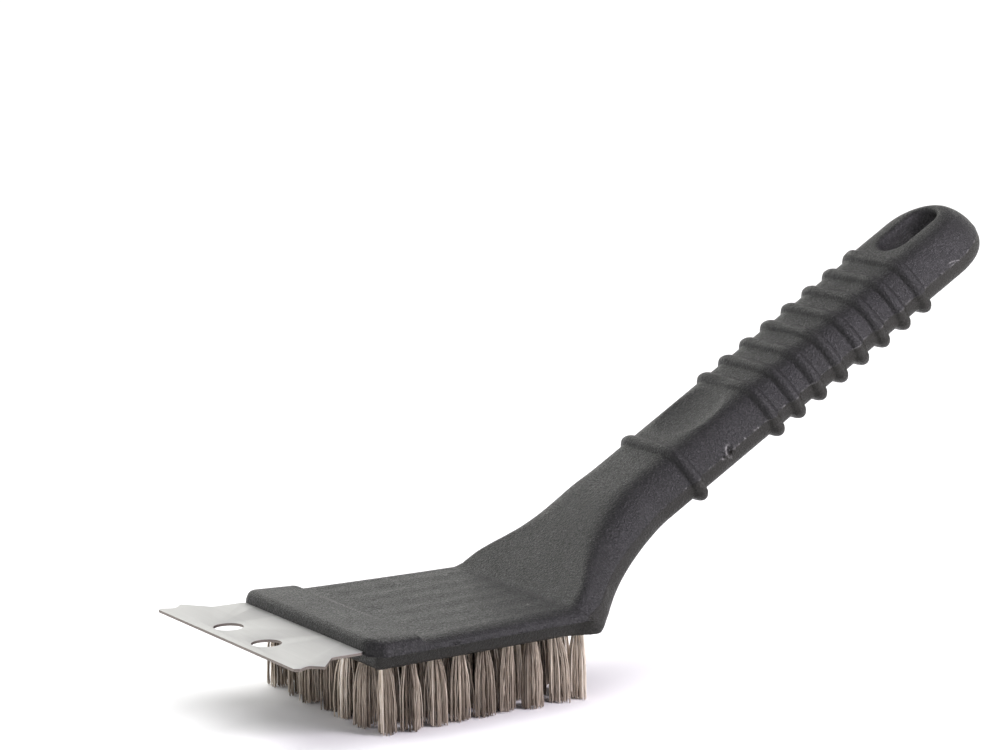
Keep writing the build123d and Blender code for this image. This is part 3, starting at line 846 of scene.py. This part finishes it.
# ----------------------------------------------------------- tufts and anchors
def wire_bundle(cx, cy, count, spread, lean, outer):
    """Bent wires of one tuft: list of (path points, radius, tone)."""
    out = []
    strands = 5
    off = RNG.normal(0, 0.22 if not outer else 0.30, (strands, 2))
    shade = RNG.beta(1.3, 1.7, strands)
    turn = RNG.uniform(0, 2 * math.pi)
    for k in range(count):
        a = k * 2.399963 + RNG.uniform(-0.3, 0.3)
        rr = 1.28 * math.sqrt((k + 0.5) / count)
        root = np.array([rr * math.cos(a), rr * math.sin(a)])
        g = int((a + turn) / (2 * math.pi) * strands) % strands
        tip = root * spread * RNG.uniform(0.84, 1.14) + lean + off[g] + RNG.normal(0, 0.16, 2)
        if RNG.random() < (0.05 if not outer else 0.09):
            tip = tip + RNG.normal(0, 0.8, 2)
        length = 16.75 - abs(RNG.normal(0, 0.30)) - (RNG.random() < 0.10) * RNG.uniform(0.5, 2.6)
        amp, ph = RNG.normal(0, 0.075, 2), RNG.uniform(0, 6.28)
        pts = [(cx + root[0], cy + root[1], 4.6)]
        for u in (0.0, 0.10, 0.22, 0.36, 0.50, 0.64, 0.78, 0.90, 1.0):
            grow = 1 - (1 - u) ** 3.6
            xy = root + (tip - root) * grow + amp * math.sin(u * 14.0 + ph) * min(1.0, u * 4)
            pts.append((cx + xy[0], cy + xy[1], 0.2 - (length + 0.2) * u))
        tone = float(np.clip(0.55 * shade[g] + 0.45 * RNG.beta(1.2, 1.5), 0, 1))
        out.append((pts, 0.155 + RNG.uniform(-0.015, 0.03), tone))
    return out


def tube_mesh(name, wires, sides=6):
    V, F, T = [], [], []
    for pts, r, tone in wires:
        p = np.array(pts)
        base = len(V)
        ph = RNG.uniform(0, 1.0)
        k = len(p)
        for i in range(k):
            d = p[min(i + 1, k - 1)] - p[max(i - 1, 0)]
            d /= np.linalg.norm(d)
            u = np.cross(d, (0.0, 1.0, 0.0))
            u /= np.linalg.norm(u)
            w = np.cross(d, u)
            cut = RNG.uniform(-0.10, 0.10) if i == k - 1 else 0.0
            for s_ in range(sides):
                an = ph + 2 * math.pi * s_ / sides
                q = p[i] + r * (u * math.cos(an) + w * math.sin(an))
                q[2] = max(q[2] + cut * math.cos(an), -16.78)
                V.append(q)
                T.append(tone)
        for i in range(k - 1):
            for s_ in range(sides):
                a = base + i * sides + s_
                b_ = base + i * sides + (s_ + 1) % sides
                F.append((a, b_, b_ + sides, a + sides))
        F.append(tuple(base + s_ for s_ in reversed(range(sides))))
        F.append(tuple(base + (k - 1) * sides + s_ for s_ in range(sides)))
    ob = mesh_object(name, metres(V), F)
    at = ob.data.attributes.new("tone", "FLOAT", "POINT")
    at.data.foreach_set("value", np.array(T, np.float32))
    bm = bmesh.new()
    bm.from_mesh(ob.data)
    bmesh.ops.recalc_face_normals(bm, faces=bm.faces)
    bm.to_mesh(ob.data)
    bm.free()
    ob.data.set_sharp_from_angle(angle=math.radians(50))
    return ob


def anchor_mesh(name, places):
    """Short flat wires pressed across the holes, ends nipped and rounded."""
    V, F = [], []
    prof = []
    w, hgt, r = 1.78, 3.2, 0.45
    for cx, cz, a0 in ((w - r, -0.05 + r * 0.4, -90), (w - r, hgt - r, 0), (-(w - r), hgt - r, 90), (-(w - r), -0.05 + r * 0.4, 180)):
        rz = r * 0.4 if cz < 1 else r
        for a in range(0, 91, 18):
            t = math.radians(a0 + a)
            prof.append((cx + r * math.cos(t), cz + rz * math.sin(t)))
    k = len(prof)
    for (x, y) in places:
        tw = RNG.uniform(-0.12, 0.12)
        base = len(V)
        layers = ((-0.20, 0.90), (-0.16, 0.985), (-0.09, 1.0), (0.09, 1.0), (0.16, 0.985), (0.20, 0.90))
        for t, sc in layers:
            for (py, pz) in prof:
                pz2 = 1.6 + (pz - 1.6) * sc
                py2 = py * sc
                bow = 0.10 * math.cos(py * 1.2)
                V.append((x + (t + bow - 0.05) * math.cos(tw) - py2 * math.sin(tw), y + py2 * math.cos(tw) + t * math.sin(tw), pz2))
        for i in range(len(layers) - 1):
            for j in range(k):
                a, b_ = base + i * k + j, base + i * k + (j + 1) % k
                F.append((a, b_, b_ + k, a + k))
        F.append(tuple(base + j for j in reversed(range(k))))
        F.append(tuple(base + (len(layers) - 1) * k + j for j in range(k)))
    ob = mesh_object(name, metres(V), F)
    bm = bmesh.new()
    bm.from_mesh(ob.data)
    bmesh.ops.recalc_face_normals(bm, faces=bm.faces)
    bm.to_mesh(ob.data)
    bm.free()
    ob.data.set_sharp_from_angle(angle=math.radians(40))
    return ob


for i in range(9):
    kk = 8.73 * (1 + 0.12 * (4 - i) / 8)
    wires, places = [], []
    for j in range(7):
        x, y = 7.0 * i, kk * (j - 3)
        outer = j in (0, 6) or i in (0, 8)
        edge = 1.0 if j in (0, 6) else 0.0
        spread = RNG.uniform(1.55, 1.85) if not outer else RNG.uniform(1.70, 2.10)
        lean = RNG.normal(0, 0.34, 2) + np.array([0.0, (0.20 * np.sign(j - 3)) * edge])
        wires += wire_bundle(x, y, 54, spread, lean, outer)
        places.append((x, y))
    rode(tube_mesh(f"wire_tufts_{i + 1}", wires), "wire", WIRE, f"bristle_row_{i + 1}")
    rode(anchor_mesh(f"anchors_{i + 1}", places), "anchor_steel", ANCHOR, f"anchor_row_{i + 1}")


# ---------------------------------------------------------------------- studio
def rodrigues(v):
    v = np.array(v, float)
    th = np.linalg.norm(v)
    k = v / th
    K = np.array([[0, -k[2], k[1]], [k[2], 0, -k[0]], [-k[1], k[0], 0]])
    return np.eye(3) + math.sin(th) * K + (1 - math.cos(th)) * K @ K


r = rodrigues((1.716, -0.496, 0.387))
t = np.array([-67.333, 47.041, 1073.775]) * 0.875
eye = metres(-r.T @ t)
cam_data = bpy.data.cameras.new("camera")
cam = bpy.data.objects.new("camera", cam_data)
bpy.context.scene.collection.objects.link(cam)
m = Matrix.Identity(4)
for k, axis in enumerate((r[0], -r[1], -r[2])):
    for q in range(3):
        m[q][k] = float(axis[q])
for q in range(3):
    m[q][3] = float(eye[q])
cam.matrix_world = m
cam_data.lens = math.exp(8.256) / 1000.0 * 36.0
cam_data.sensor_width = 36.0
cam_data.shift_x = -0.0712
cam_data.shift_y = 0.0990
cam_data.clip_start = 0.05
cam_data.clip_end = 50.0
bpy.context.scene.camera = cam

floor_n = Nodes("pale_floor")
fb = floor_n.bsdf
fnoise = floor_n.noise(40.0, 3.0, 0.6)
floor_n.link(floor_n.ramp(fnoise, [(0.3, (0.90, 0.90, 0.90)), (0.7, (0.915, 0.915, 0.915))]), fb.inputs["Base Color"])
floor_n.link(floor_n.remap(fnoise, 0.3, 0.7, 0.75, 0.85), fb.inputs["Roughness"])
fb.inputs["Specular IOR Level"].default_value = 0.1
bm = bmesh.new()
R = 40.0
vs = [bm.verts.new((math.cos(a) * R, math.sin(a) * R, 0.0)) for a in np.linspace(0, 2 * math.pi, 64, endpoint=False)]
bm.faces.new(vs)
fme = bpy.data.meshes.new("floor")
bm.to_mesh(fme)
bm.free()
floor = bpy.data.objects.new("floor", fme)
floor.data.materials.append(floor_n.mat)
bpy.context.scene.collection.objects.link(floor)


def area(name, loc, target, size, power, color=(1, 1, 1), size_y=None):
    d = bpy.data.lights.new(name, "AREA")
    d.shape = "RECTANGLE"
    d.size = size
    d.size_y = size_y or size
    d.energy = power
    d.color = color
    o = bpy.data.objects.new(name, d)
    bpy.context.scene.collection.objects.link(o)
    o.location = loc
    o.rotation_euler = (Vector(target) - Vector(loc)).to_track_quat("-Z", "Y").to_euler()
    return o


# the sun lights the floor evenly; the boxes make the plastic's highlights
area("softbox_back", (0.02, 0.84, 0.56), (0.02, 0.0, 0.04), 0.50, 1.7, (1.0, 1.0, 0.96))
area("softbox_right", (0.175, -0.31, 0.295), (0.10, 0.0, 0.095), 0.17, 2.0, (0.96, 0.90, 1.0))
area("softbox_side", (0.80, -0.38, 0.16), (0.03, 0.0, 0.05), 0.50, 1.5, (1.0, 0.97, 0.98))
area("softbox_left", (-0.75, 0.48, 0.36), (0.0, 0.0, 0.05), 0.35, 0.8)
sd_ = bpy.data.lights.new("overhead", "SUN")
sd_.energy = 2.95
sd_.angle = math.radians(70)
so_ = bpy.data.objects.new("overhead", sd_)
bpy.context.scene.collection.objects.link(so_)
so_.rotation_euler = (math.radians(-14), 0.0, 0.0)
so_.visible_glossy = False

world = bpy.data.worlds.new("studio")
bpy.context.scene.world = world
world.use_nodes = True
wt = world.node_tree
bg = wt.nodes.get("Background")
wc = wt.nodes.new("ShaderNodeTexCoord")
ws = wt.nodes.new("ShaderNodeSeparateXYZ")
wt.links.new(wc.outputs["Generated"], ws.inputs[0])


def sky(stops):
    n = wt.nodes.new("ShaderNodeValToRGB")
    el = n.color_ramp.elements
    for k, (pos, col) in enumerate(stops):
        e = el[k] if k < 2 else el.new(pos)
        e.position = pos
        e.color = (*col, 1.0)
    wt.links.new(ws.outputs[2], n.inputs["Fac"])
    return n.outputs["Color"]


# the room as the brush sees it: white low down at the back, dim overhead and
# on the camera's side
front = sky([(0.0, (0.42, 0.40, 0.465)), (1.0, (0.15, 0.15, 0.16)), (0.25, (0.34, 0.32, 0.39)), (0.50, (0.18, 0.17, 0.215)),
             (0.72, (0.07, 0.066, 0.085)), (0.90, (0.07, 0.07, 0.085))])
rear = sky([(0.0, (1.50, 1.50, 1.44)), (1.0, (0.20, 0.20, 0.20)), (0.26, (1.40, 1.40, 1.33)), (0.50, (0.66, 0.66, 0.63)),
            (0.72, (0.28, 0.28, 0.27))])
wr = wt.nodes.new("ShaderNodeMapRange")
wr.inputs["From Min"].default_value = 0.0
wr.inputs["From Max"].default_value = 0.55
wt.links.new(ws.outputs[1], wr.inputs["Value"])
wm = wt.nodes.new("ShaderNodeMix")
wm.data_type = "RGBA"
wt.links.new(wr.outputs["Result"], wm.inputs[0])
_wi = [i for i in wm.inputs if i.type == "RGBA"]
wt.links.new(front, _wi[0])
wt.links.new(rear, _wi[1])
wt.links.new([o for o in wm.outputs if o.type == "RGBA"][0], bg.inputs["Color"])
bg.inputs["Strength"].default_value = 1.0
bpy.context.scene.view_settings.view_transform = "Standard"
bpy.context.scene.view_settings.look = "None"
bpy.context.scene.view_settings.exposure = 0.0
